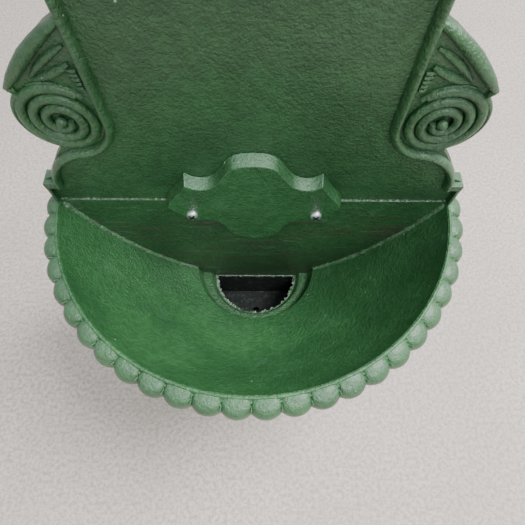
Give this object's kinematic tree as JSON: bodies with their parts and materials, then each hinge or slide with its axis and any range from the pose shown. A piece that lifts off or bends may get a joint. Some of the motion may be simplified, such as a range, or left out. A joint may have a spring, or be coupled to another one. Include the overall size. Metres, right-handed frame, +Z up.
{
  "type": "drinking fountain",
  "caption": "Cast-iron wall-back drinking fountain: half-round basin with a beaded rim on a drum foot, ornamental back plate and a brass cross-handle tap.",
  "frame": {"origin": "on the floor, on the centre line, under the foot of the back plate", "axes": "+Z up, -Y towards the user and the basin's front, +X to the right seen from the front"},
  "size_m": [0.4392, 0.2563, 0.7399],
  "materials": {
    "green_iron": "semi-gloss paint over cast texture",
    "steel": "zinc-plated",
    "brass": "worn satin",
    "rubber": "matt"
  },
  "bodies": {
    "fountain": {"back_plate": "green_iron", "basin": "green_iron", "cartouche": "green_iron", "cartouche_screws": "steel", "cartouche_washers": "steel", "cartouche_nuts": "steel", "sump": "green_iron", "sump_gasket": "rubber", "sump_bolts": "steel", "foot_bolts": "steel", "foot_washers": "steel", "wall_rosette": "brass", "tail_washer": "rubber", "tail_locknut": "brass", "tap_body": "brass", "bonnet_gasket": "rubber", "bonnet": "brass", "gland_packing": "rubber", "gland_nut": "brass", "spout_nozzle": "brass"},
    "spindle": {"spindle": "brass", "handle": "brass", "handle_screw": "steel"},
    "jumper": {"jumper": "brass", "valve_washer": "rubber", "washer_screw": "steel"}
  },
  "joints": [
    {"name": "handle_turn", "type": "hinge", "parent": "fountain", "child": "spindle", "pos_m": [0, -0.07, 0.65], "axis": [0, 0, 1], "range_deg": [0, 540]},
    {"name": "jumper_lift", "type": "slide", "parent": "fountain", "child": "jumper", "axis": [0, 0, 1], "range_m": [0, 0.0045]}
  ],
  "couplings": [
    {"joint": "jumper_lift", "follows": "handle_turn", "m_per_rad": 0.000477}
  ]
}
